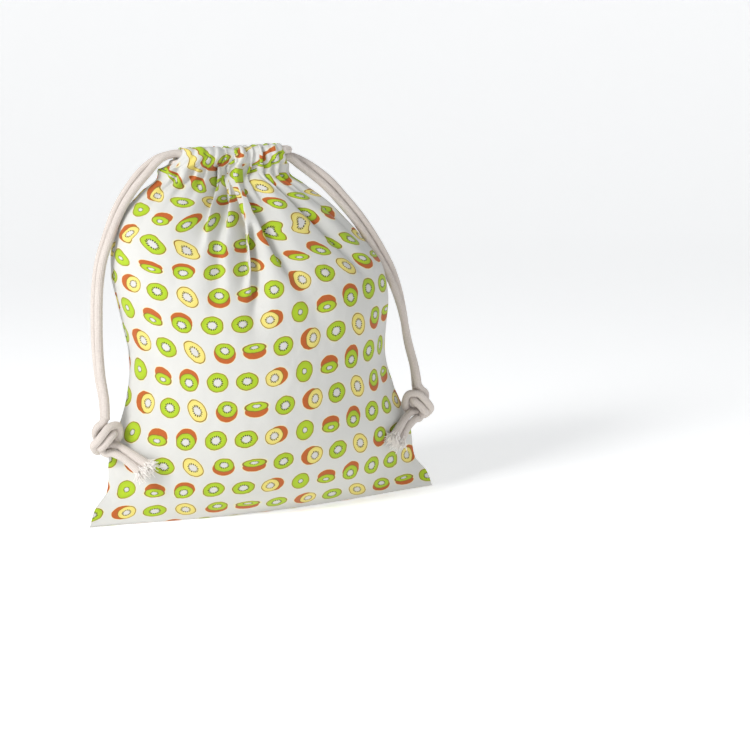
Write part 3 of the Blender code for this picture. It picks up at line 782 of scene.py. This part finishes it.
def printed_cotton(sizes, colours):
    """Off-white cotton with its print, worked out on the flat cloth places."""
    material = bpy.data.materials.new("printed_cotton")
    bench = NodeBench(material)
    place = bench.add("ShaderNodeUVMap", uv_map="flat_place")
    split = bench.add("ShaderNodeSeparateXYZ")
    bench.feed(split.inputs[0], place.outputs[0])
    u, v = split.outputs[0], split.outputs[1]
    row = bench.maths("DIVIDE", bench.maths("SUBTRACT", v, PRINT_START[1]), sizes.print_row)
    row_number = bench.maths("FLOOR", row)
    odd = bench.maths("FLOORED_MODULO", row_number, 2.0)
    column = bench.maths("DIVIDE", bench.maths("SUBTRACT", u, PRINT_START[0]), sizes.print_pitch)
    column = bench.maths("SUBTRACT", column, bench.maths("MULTIPLY", odd, ODD_ROW_SHIFT))
    column_number = bench.maths("FLOOR", column)
    index = bench.maths("FLOORED_MODULO", column_number, SLICES_IN_ROW)
    index = bench.maths("ADD", bench.maths("MULTIPLY_ADD", odd, SLICES_IN_ROW, index), 0.5)
    index = bench.maths("DIVIDE", index, len(CHART))
    x = bench.maths("SUBTRACT", bench.maths("SUBTRACT", column, column_number), 0.5)
    x = bench.maths("MULTIPLY", x, sizes.print_pitch / MM)
    y = bench.maths("SUBTRACT", bench.maths("SUBTRACT", row, row_number), 0.5)
    y = bench.maths("MULTIPLY", y, sizes.print_row / MM)

    def size(number):
        """A length from 0 up, as a chart value."""
        return number / CHART_SPAN

    def place_off(number):
        """A length to either side of 0, as a chart value."""
        return number / CHART_SPAN + 0.5

    sizes_chart = bench.chart(index, [(size(s.across), size(s.tall), s.turn / 360 + 0.5)
                                      for s in CHART])
    moves = bench.chart(index, [(place_off(s.move_x), place_off(s.move_y), float(s.yellow))
                                for s in CHART])
    peels = bench.chart(index, [(place_off(s.peel_x), place_off(s.peel_y), size(s.peel_across))
                                for s in CHART])
    cores = bench.chart(index, [(s.core / 2, size(s.peel_tall), place_off(s.core_y))
                                for s in CHART])

    def back_to_mm(value):
        return bench.maths("MULTIPLY", bench.maths("SUBTRACT", value, 0.5), CHART_SPAN)

    x = bench.maths("SUBTRACT", x, back_to_mm(moves[0]))
    y = bench.maths("SUBTRACT", y, back_to_mm(moves[1]))
    wander = bench.add("ShaderNodeTexNoise")
    bench.feed(wander.inputs["Vector"], place.outputs[0])
    wander.inputs["Scale"].default_value = 210.0
    wander.inputs["Detail"].default_value = 1.0
    shake = bench.add("ShaderNodeSeparateColor")
    bench.feed(shake.inputs[0], wander.outputs["Color"])
    x = bench.maths("ADD", x, bench.maths("MULTIPLY", bench.maths("SUBTRACT", shake.outputs[0], 0.5), 1.1))
    y = bench.maths("ADD", y, bench.maths("MULTIPLY", bench.maths("SUBTRACT", shake.outputs[1], 0.5), 1.1))
    turn = bench.maths("MULTIPLY", bench.maths("SUBTRACT", sizes_chart[2], 0.5), 2 * math.pi)
    cosine, sine = bench.maths("COSINE", turn), bench.maths("SINE", turn)
    across = bench.maths("MULTIPLY", sizes_chart[0], CHART_SPAN)
    tall = bench.maths("MULTIPLY", sizes_chart[1], CHART_SPAN)

    def turned(px, py):
        first = bench.maths("MULTIPLY_ADD", px, cosine, bench.maths("MULTIPLY", py, sine))
        second = bench.maths("MULTIPLY", py, cosine)
        return first, bench.maths("SUBTRACT", second, bench.maths("MULTIPLY", px, sine))

    def reach(px, py, half_across, half_tall):
        """Distance from the middle of an ellipse as a share of its rim, and both parts."""
        first = bench.maths("DIVIDE", px, half_across)
        second = bench.maths("DIVIDE", py, half_tall)
        return bench.maths("SQRT", bench.maths("ADD", bench.maths("MULTIPLY", first, first),
                                               bench.maths("MULTIPLY", second, second))), first, second

    flesh_x, flesh_y = turned(x, y)
    flesh, _, _ = reach(flesh_x, flesh_y, across, tall)
    smaller = bench.maths("MINIMUM", across, tall)
    rim_mm = bench.maths("MULTIPLY", bench.maths("SUBTRACT", flesh, 1.0), smaller)
    peel_x, peel_y = turned(bench.maths("SUBTRACT", x, back_to_mm(peels[0])),
                            bench.maths("SUBTRACT", y, back_to_mm(peels[1])))
    peel_across = bench.maths("MAXIMUM", bench.maths("MULTIPLY", peels[2], CHART_SPAN), 0.01)
    peel_tall = bench.maths("MAXIMUM", bench.maths("MULTIPLY", cores[1], CHART_SPAN), 0.01)
    peel, _, _ = reach(peel_x, peel_y, peel_across, peel_tall)
    peel_mm = bench.maths("MULTIPLY", bench.maths("SUBTRACT", peel, 1.0), peel_tall)
    core_y = bench.maths("SUBTRACT", flesh_y, back_to_mm(cores[2]))
    heart, unit_x, unit_y = reach(flesh_x, core_y, across, tall)
    angle = bench.maths("ARCTAN2", unit_y, unit_x)

    yellow = moves[2]
    fibre = bench.noise(place.outputs[0], 900.0, 4.0, 0.6)
    flesh_colour = bench.mix(yellow, (*colours.green_flesh, 1.0), (*colours.yellow_flesh, 1.0))
    flesh_deep = bench.mix(yellow, (*colours.green_edge, 1.0), (*colours.yellow_edge, 1.0))
    toward_rim = bench.step(flesh, 0.55, 1.02)
    streak = bench.maths("SINE", bench.maths("MULTIPLY", angle, 26.0))
    toward_rim = bench.maths("ADD", toward_rim, bench.maths("MULTIPLY", streak, 0.10), clamp=True)
    flesh_colour = bench.mix(toward_rim, flesh_colour, flesh_deep)

    edge_noise = bench.noise(place.outputs[0], 420.0, 3.0, 0.6)
    core_wave = bench.maths("SINE", bench.maths("MULTIPLY", angle, 5.0))
    core_size = bench.maths("MULTIPLY", cores[0], 2.0)
    heart = bench.maths("DIVIDE", heart, core_size)
    core_shake = bench.maths("MULTIPLY", bench.maths("SUBTRACT", edge_noise, 0.5), 0.24)
    core_reach = bench.maths("ADD", heart, core_shake)
    core_reach = bench.maths("ADD", core_reach, bench.maths("MULTIPLY", core_wave, 0.03))
    core = bench.maths("SUBTRACT", 1.0, bench.step(core_reach, 0.36, 0.44))

    seed_turn = bench.maths("MULTIPLY", angle, SEED_COUNT / (2 * math.pi))
    seed_turn = bench.maths("MULTIPLY_ADD", edge_noise, 0.6, seed_turn)
    seed_cell = bench.maths("FRACT", seed_turn)
    seed_side = bench.maths("ABSOLUTE", bench.maths("SUBTRACT", seed_cell, 0.5))
    seed_shake = bench.maths("MULTIPLY", bench.maths("SUBTRACT", edge_noise, 0.5), 0.20)
    seed_place = bench.maths("ADD", 0.44, seed_shake)
    seed_along = bench.maths("ABSOLUTE", bench.maths("SUBTRACT", heart, seed_place))
    seed_length = bench.maths("DIVIDE", seed_along, 0.10)
    seed_width = bench.maths("DIVIDE", seed_side, 0.31)
    seed_reach = bench.maths("ADD", bench.maths("MULTIPLY", seed_length, seed_length),
                             bench.maths("MULTIPLY", seed_width, seed_width))
    seeds = bench.maths("SUBTRACT", 1.0, bench.step(seed_reach, 0.7, 1.4))

    has_peel = bench.step(peels[2], 0.01, 0.05)
    no_peel_mm = bench.maths("MULTIPLY_ADD", bench.maths("SUBTRACT", 1.0, has_peel), 50.0, peel_mm)
    halo = bench.maths("SUBTRACT", 1.0, bench.step(bench.maths("MINIMUM", rim_mm, no_peel_mm), 0.35, 0.95))
    outline = bench.maths("SUBTRACT", 1.0, bench.step(rim_mm, 0.0, 0.25))
    inside = bench.maths("SUBTRACT", 1.0, bench.step(rim_mm, -0.62, -0.38))
    inside_peel = bench.maths("SUBTRACT", 1.0, bench.step(peel_mm, 0.0, 0.3))
    peel_mask = bench.maths("MULTIPLY", has_peel, inside_peel)
    peel_colour = bench.mix(fibre, (*colours.peel_dark, 1.0), (*colours.peel, 1.0))

    cloth = (*colours.cotton, 1.0)
    colour = bench.mix(halo, cloth, (*colours.halo, 1.0))
    colour = bench.mix(peel_mask, colour, peel_colour)
    colour = bench.mix(outline, colour, (*colours.outline, 1.0))
    colour = bench.mix(inside, colour, flesh_colour)
    colour = bench.mix(bench.maths("MULTIPLY", core, inside), colour, (*colours.core, 1.0))
    colour = bench.mix(bench.maths("MULTIPLY", seeds, inside), colour, (*colours.seed, 1.0))
    bench.feed(bench.shader.inputs["Base Color"], colour)
    bench.shader.inputs["Roughness"].default_value = 0.88
    bench.shader.inputs["Sheen Weight"].default_value = 0.15
    bench.shader.inputs["Sheen Roughness"].default_value = 0.5

    warp = bench.maths("SINE", bench.maths("MULTIPLY", u, 2 * math.pi / sizes.weave))
    weft = bench.maths("SINE", bench.maths("MULTIPLY", v, 2 * math.pi / sizes.weave))
    weave = bench.maths("MULTIPLY", warp, weft)
    coordinates = bench.add("ShaderNodeTexCoord")
    creasing = bench.noise(coordinates.outputs["Object"], 70.0, 5.0, 0.62)
    height = bench.maths("ADD", bench.maths("MULTIPLY", weave, 0.05), creasing)
    bump = bench.add("ShaderNodeBump")
    bump.inputs["Strength"].default_value = 0.5
    bump.inputs["Distance"].default_value = 0.0012
    bench.feed(bump.inputs["Height"], height)
    bench.feed(bench.shader.inputs["Normal"], bump.outputs[0])
    return material


def cotton_cord(colours):
    """Braided warm grey-beige cord, with painted shade in the braid's grooves; the braid follows the
    cord's own places.
    """
    material = bpy.data.materials.new("cotton_cord")
    bench = NodeBench(material)
    place = bench.add("ShaderNodeUVMap", uv_map="flat_place")
    split = bench.add("ShaderNodeSeparateXYZ")
    bench.feed(split.inputs[0], place.outputs[0])
    round_turn = bench.maths("MULTIPLY", split.outputs[0], 2 * math.pi * 8)
    run_turn = bench.maths("MULTIPLY", split.outputs[1], 2 * math.pi / 0.0026)
    first = bench.maths("SINE", bench.maths("ADD", round_turn, run_turn))
    second = bench.maths("SINE", bench.maths("SUBTRACT", round_turn, run_turn))
    braid = bench.maths("MULTIPLY", first, second)
    coordinates = bench.add("ShaderNodeTexCoord")
    fluff = bench.noise(coordinates.outputs["Object"], 700.0, 4.0, 0.6)
    patch = bench.noise(coordinates.outputs["Object"], 60.0, 2.0, 0.5)
    # Painted shade: the braid pattern darkens the yarn in its grooves and leaves it lit on its ridges;
    # fluff and blotch add random tone.
    shade = bench.maths("ADD", bench.maths("MULTIPLY", braid, 0.22), bench.maths("ADD", fluff, -0.05))
    blotch = bench.maths("MULTIPLY", bench.maths("SUBTRACT", patch, 0.5), 0.5)
    shade = bench.maths("ADD", shade, blotch, clamp=True)
    colour = bench.mix(shade, (*colours.cord_painted_shade, 1.0), (*colours.cord, 1.0))
    bench.feed(bench.shader.inputs["Base Color"], colour)
    bench.shader.inputs["Roughness"].default_value = 0.92
    bench.shader.inputs["Sheen Weight"].default_value = 0.25
    height = bench.maths("ADD", bench.maths("MULTIPLY", braid, 0.5), fluff)
    bump = bench.add("ShaderNodeBump")
    bump.inputs["Strength"].default_value = 0.6
    bump.inputs["Distance"].default_value = 0.0006
    bench.feed(bump.inputs["Height"], height)
    bench.feed(bench.shader.inputs["Normal"], bump.outputs[0])
    return material


def loose_yarn(colours):
    """Plain fluffy yarn of the frayed ends."""
    material = bpy.data.materials.new("loose_yarn")
    bench = NodeBench(material)
    bench.shader.inputs["Base Color"].default_value = (*colours.yarn, 1.0)
    bench.shader.inputs["Roughness"].default_value = 0.95
    bench.shader.inputs["Subsurface Weight"].default_value = 0.3
    bench.shader.inputs["Subsurface Radius"].default_value = (0.002, 0.002, 0.002)
    return material


class BagSizes(bpy.types.PropertyGroup):
    """Sizes that a user would change"""
    cord_diameter: bpy.props.FloatProperty(
        name="Cord diameter", description="Thickness of the braided cord",
        default=CORD_DIAMETER, unit="LENGTH")
    cloth_thickness: bpy.props.FloatProperty(
        name="Cloth thickness", description="Thickness of the cotton",
        default=0.0006, unit="LENGTH")
    print_pitch: bpy.props.FloatProperty(
        name="Print pitch", description="Distance between printed slices across the cloth",
        default=0.025, unit="LENGTH")
    print_row: bpy.props.FloatProperty(
        name="Print row", description="Distance between rows of printed slices",
        default=0.0245, unit="LENGTH")
    weave: bpy.props.FloatProperty(
        name="Weave", description="Distance between threads as they show",
        default=0.0011, unit="LENGTH")


def colour_property(name, description, default):
    return bpy.props.FloatVectorProperty(
        name=name, description=description, default=default, subtype="COLOR", min=0.0, max=1.0)


class BagColours(bpy.types.PropertyGroup):
    """Colours of the cloth, its print and the cords"""
    cotton: colour_property("Cotton", "Ground of the cloth", (0.605, 0.600, 0.572))
    # The cord colour is the yarn's lit tone, and the next one is a painted shade for the yarn between the
    # braid's ridges; the yarn itself has one colour.
    cord: colour_property("Cord", "Lit yarn of the cord", (0.74, 0.675, 0.62))
    cord_painted_shade: colour_property("Cord shade", "Yarn between the braid's ridges", (0.55, 0.485, 0.44))
    yarn: colour_property("Yarn", "Loose yarn of the frayed ends", (0.86, 0.82, 0.78))
    green_flesh: colour_property("Green flesh", "Green slices near the core", (0.38, 0.52, 0.013))
    green_edge: colour_property("Green edge", "Green slices near the rim", (0.30, 0.45, 0.008))
    yellow_flesh: colour_property("Yellow flesh", "Yellow slices near the core", (0.72, 0.62, 0.18))
    yellow_edge: colour_property("Yellow edge", "Yellow slices near the rim", (0.68, 0.56, 0.12))
    peel: colour_property("Peel", "Peel in the light", (0.52, 0.125, 0.014))
    peel_dark: colour_property("Peel dark", "Peel between its hairs", (0.36, 0.07, 0.010))
    outline: colour_property("Outline", "Thin line round each slice", (0.23, 0.115, 0.011))
    halo: colour_property("Halo", "Pale edge outside each slice", (0.72, 0.67, 0.40))
    core: colour_property("Core", "White core of a slice", (0.60, 0.585, 0.565))
    seed: colour_property("Seed", "Seeds round the core", (0.05, 0.035, 0.012))


class BAG_OT_camera(bpy.types.Operator):
    """Set the camera at the photo's angle to the bag"""
    bl_idname = "bag.camera"
    bl_label = "Camera"

    def execute(self, context):
        turn, lift, roll = (math.radians(a) for a in (CAMERA_AZIMUTH, CAMERA_ELEVATION, CAMERA_ROLL))
        back = Vector((math.sin(turn) * math.cos(lift), -math.cos(turn) * math.cos(lift), math.sin(lift)))
        right = Vector((math.cos(turn), math.sin(turn), 0.0))
        up = back.cross(right)
        rolled_right = right * math.cos(roll) - up * math.sin(roll)
        rolled_up = right * math.sin(roll) + up * math.cos(roll)
        data = bpy.data.cameras.new("camera")
        data.lens = CAMERA_LENS
        data.sensor_width = 36.0
        camera = bpy.data.objects.new("camera", data)
        rotation = Matrix((rolled_right, rolled_up, back)).transposed()
        place = Vector(CAMERA_AIM) + back * CAMERA_DISTANCE
        camera.matrix_world = Matrix.Translation(place) @ rotation.to_4x4()
        context.scene.collection.objects.link(camera)
        context.scene.camera = camera
        return {"FINISHED"}


class BAG_OT_cords(bpy.types.Operator):
    """Make the two neck loops, the four free strands and the two knots"""
    bl_idname = "bag.cords"
    bl_label = "Cords and knots"

    def execute(self, context):
        material = cotton_cord(context.scene.bag_colours)
        yarn = loose_yarn(context.scene.bag_colours)
        for side_name, side, lane, route, knot in (
                ("left", -1, UPPER_LANE, LEFT_ROUTE, LEFT_KNOT),
                ("right", 1, LOWER_LANE, RIGHT_ROUTE, RIGHT_KNOT)):
            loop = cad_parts[side_name + "_cord_neck_loop"]
            loop.data.materials.clear()
            loop.data.materials.append(material)
            tied = self.knot(side_name, side, knot, material, yarn)
            for strand_name, way in (("front", 1), ("back", -1)):
                path = strand_path(side, lane, route, knot, way)
                name = "%s_%s_strand" % (side_name, strand_name)
                strand = add_tube(name, path, braid_radius, CORD_SIDES, material)
                node = "%s_cord_%s_strand" % (side_name, strand_name)
                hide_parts(node)
                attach(strand, "root")
        return {"FINISHED"}

    def knot(self, side_name, side, centre, material, yarn):
        """Both strands tied in one overhand knot, and their frayed ends."""
        middle = Vector(centre)
        pieces, ends = [], []
        for way in (1, -1):
            points = []
            for row in KNOT_ROUTE:
                aside = Vector((row.aside_x, row.aside_y, row.aside_z))
                spot = Vector((row.x, row.y, row.z)) + way * aside
                spot.x *= -side
                points.append((middle + spot) * MM)
            path = smooth_path(points, 0.0009)
            ends.append((path[-1], (path[-1] - path[-4]).normalized()))

            def tied_radius(share, angle, run):
                loose = float(ease((share - 0.80) / 0.20))
                return braid_radius(share, angle, run) * (0.97 + 0.24 * loose)
            name = "%s_knot_%s" % (side_name, "front" if way > 0 else "back")
            pieces.append(add_tube(name, path, tied_radius, CORD_SIDES, material))
        fringe = add_fringe(side_name + "_fray", ends, yarn, 11 if side < 0 else 12)
        for piece in pieces + [fringe]:
            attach(piece, "root")
        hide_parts(side_name + "_knot")
        return pieces + [fringe]


class BAG_OT_cloth(bpy.types.Operator):
    """Make the front and the back cloth with their gathered casings"""
    bl_idname = "bag.cloth"
    bl_label = "Printed cloth"

    def execute(self, context):
        sizes, colours = context.scene.bag_sizes, context.scene.bag_colours
        material = printed_cotton(sizes, colours)
        for name, creases, folds, seed, at_back in (
                ("front", FRONT_CREASES, FRONT_FOLDS, 5, False),
                ("back", BACK_CREASES, BACK_FOLDS, 8, True)):
            cloth = add_cloth(name + "_cloth", creases, folds, seed, at_back, material,
                              sizes.cloth_thickness)
            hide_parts(name + "_panel", name + "_casing")
            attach(cloth, "root")
        return {"FINISHED"}


class BAG_OT_stage(bpy.types.Operator):
    """Make the pale floor and backdrop, the soft lights and the view settings"""
    bl_idname = "bag.stage"
    bl_label = "Stage and lights"

    def execute(self, context):
        material = bpy.data.materials.new("stage_paper")
        bench = NodeBench(material)
        bench.shader.inputs["Base Color"].default_value = PAPER_WHITE
        bench.shader.inputs["Roughness"].default_value = 0.95
        bench.shader.inputs["Emission Color"].default_value = (1.0, 1.0, 1.0, 1.0)
        bench.shader.inputs["Emission Strength"].default_value = PAPER_GLOW
        floor = self.bowl(material)
        world = bpy.data.worlds.new("studio")
        context.scene.world = world
        world.use_nodes = True
        background = world.node_tree.nodes["Background"]
        background.inputs["Color"].default_value = SKY
        background.inputs["Strength"].default_value = SKY_STRENGTH
        self.soft_box("key_light", (-1.30, -0.60, 1.05), 0.5, 21.0)
        self.soft_box("fill_light", (1.4, -1.3, 0.9), 1.2, 0.8)
        context.scene.view_settings.view_transform = "Standard"
        return {"FINISHED"}

    def bowl(self, material):
        """A round floor whose rim curves up into a backdrop on all sides."""
        bpy.ops.mesh.primitive_circle_add(vertices=96, radius=FLOOR_RADIUS, fill_type="NGON",
                                          location=(0.0, 0.0, -0.0004))
        floor = bpy.context.object
        floor.name = "floor"
        bpy.ops.object.transform_apply(location=True, rotation=True, scale=True)
        shell = bmesh.new()
        shell.from_mesh(floor.data)
        rim = [edge for edge in shell.edges if edge.is_boundary]
        for step in range(BACKDROP_STEPS):
            made = bmesh.ops.extrude_edge_only(shell, edges=rim)["geom"]
            rim = [part for part in made if isinstance(part, bmesh.types.BMEdge)]
            turn = math.pi / 2 * (step + 1) / BACKDROP_STEPS
            radius = FLOOR_RADIUS + BACKDROP_CURVE * math.sin(turn)
            height = BACKDROP_CURVE * (1 - math.cos(turn))
            for vert in {vert for edge in rim for vert in edge.verts}:
                level = Vector((vert.co.x, vert.co.y, 0.0)).normalized() * radius
                vert.co = (level.x, level.y, height)
            rim = [edge for edge in rim if edge.is_boundary]
        shell.to_mesh(floor.data)
        shell.free()
        floor.data.shade_smooth()
        floor.data.materials.append(material)
        return floor

    def soft_box(self, name, place, size, power):
        data = bpy.data.lights.new(name, "AREA")
        data.size = size
        data.energy = power
        light = bpy.data.objects.new(name, data)
        toward = Vector((0.0, 0.0, 0.15)) - Vector(place)
        facing = toward.to_track_quat("-Z", "Y").to_matrix().to_4x4()
        light.matrix_world = Matrix.Translation(place) @ facing
        bpy.context.scene.collection.objects.link(light)


class BAG_PT_panel(bpy.types.Panel):
    """Lists the steps that make the bag"""
    bl_idname = "BAG_PT_panel"
    bl_label = "Drawstring bag"
    bl_space_type = "VIEW_3D"
    bl_region_type = "UI"
    bl_category = "Bag"

    def draw(self, context):
        for group in (context.scene.bag_sizes, context.scene.bag_colours):
            for name in group.__annotations__:
                self.layout.prop(group, name)
        for step in STEPS:
            self.layout.operator(step.bl_idname)


STEPS = (BAG_OT_camera, BAG_OT_cords, BAG_OT_cloth, BAG_OT_stage)
CLASSES = (BagSizes, BagColours) + STEPS + (BAG_PT_panel,)


def register():
    for item in CLASSES:
        bpy.utils.register_class(item)
    bpy.types.Scene.bag_sizes = bpy.props.PointerProperty(type=BagSizes)
    bpy.types.Scene.bag_colours = bpy.props.PointerProperty(type=BagColours)


def unregister():
    del bpy.types.Scene.bag_colours
    del bpy.types.Scene.bag_sizes
    for item in reversed(CLASSES):
        bpy.utils.unregister_class(item)


def main():
    register()
    bpy.ops.bag.camera()
    bpy.ops.bag.cords()
    bpy.ops.bag.cloth()
    bpy.ops.bag.stage()


if __name__ == "__main__":
    main()
